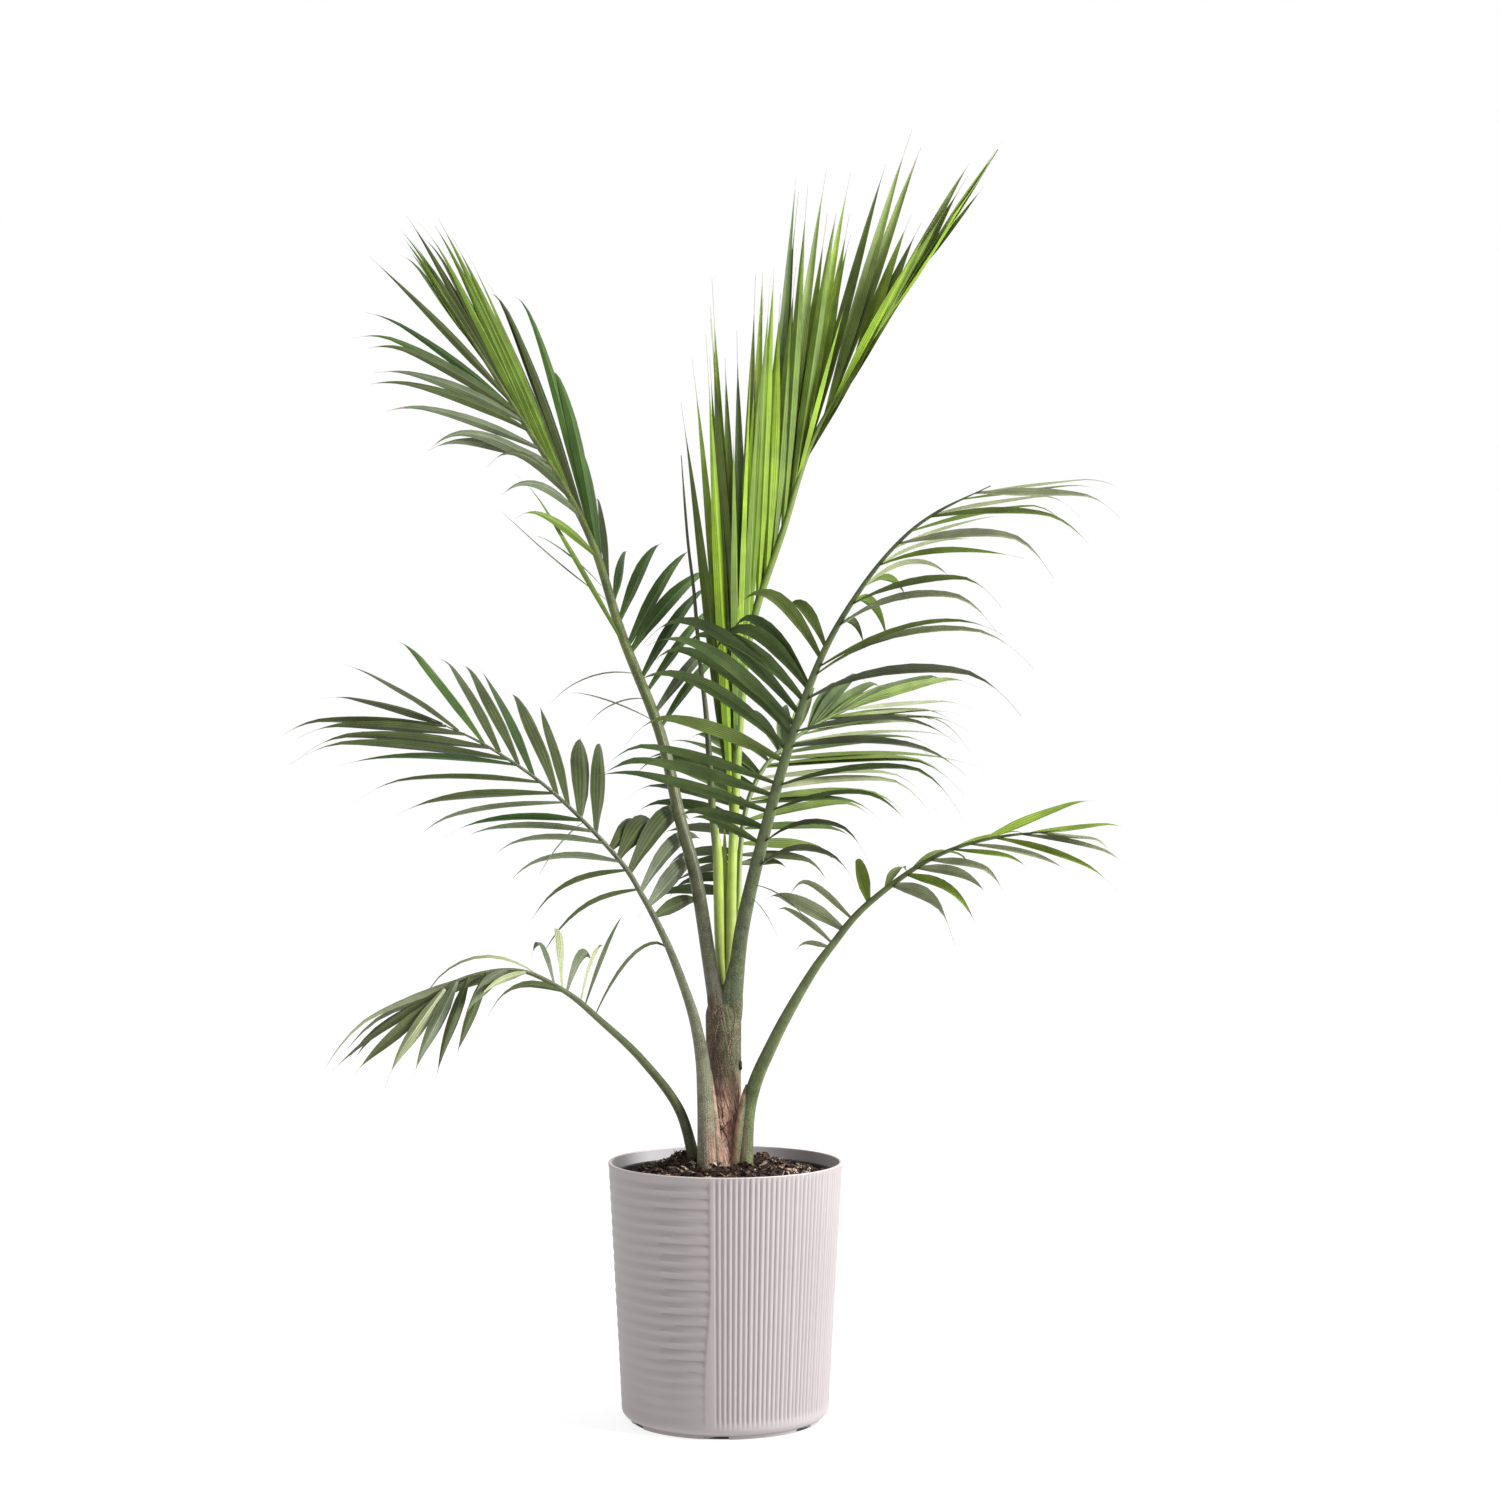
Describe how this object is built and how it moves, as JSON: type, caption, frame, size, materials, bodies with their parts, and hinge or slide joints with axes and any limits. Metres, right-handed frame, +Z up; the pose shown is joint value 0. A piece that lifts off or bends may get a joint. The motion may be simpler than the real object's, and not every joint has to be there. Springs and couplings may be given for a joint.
{
  "type": "majesty palm in a planter",
  "caption": "Young feather palm with arching fronds on a short fibrous stem, standing in a round white planter that is half fluted and half rippled.",
  "frame": {"origin": "middle of the planter's flat underside", "axes": "+Z up along the planter's axis, -Y the side that faces the viewer, +X to the viewer's right"},
  "size_m": [0.8672, 0.611, 1.4148],
  "materials": {
    "planter": "satin",
    "liner": "matte",
    "soil": "matte",
    "stem": "matte",
    "spear": "satin",
    "stalk": "satin",
    "leaf": "satin",
    "young_leaf": "satin"
  },
  "bodies": {
    "root": {"planter": "planter", "liner": "liner", "soil": "soil", "stem": "stem", "spear": "spear", "stalk_lower_left": "stalk", "stalk_middle_left": "stalk", "stalk_upper_left": "stalk", "stalk_top": "stalk", "stalk_upper_right": "stalk", "stalk_lower_right": "stalk", "stalk_rear": "stalk", "frond_lower_left": "leaf", "frond_middle_left": "leaf", "frond_upper_left": "leaf", "frond_top": "young_leaf", "frond_upper_right": "leaf", "frond_lower_right": "leaf", "frond_rear": "leaf"}
  },
  "joints": []
}
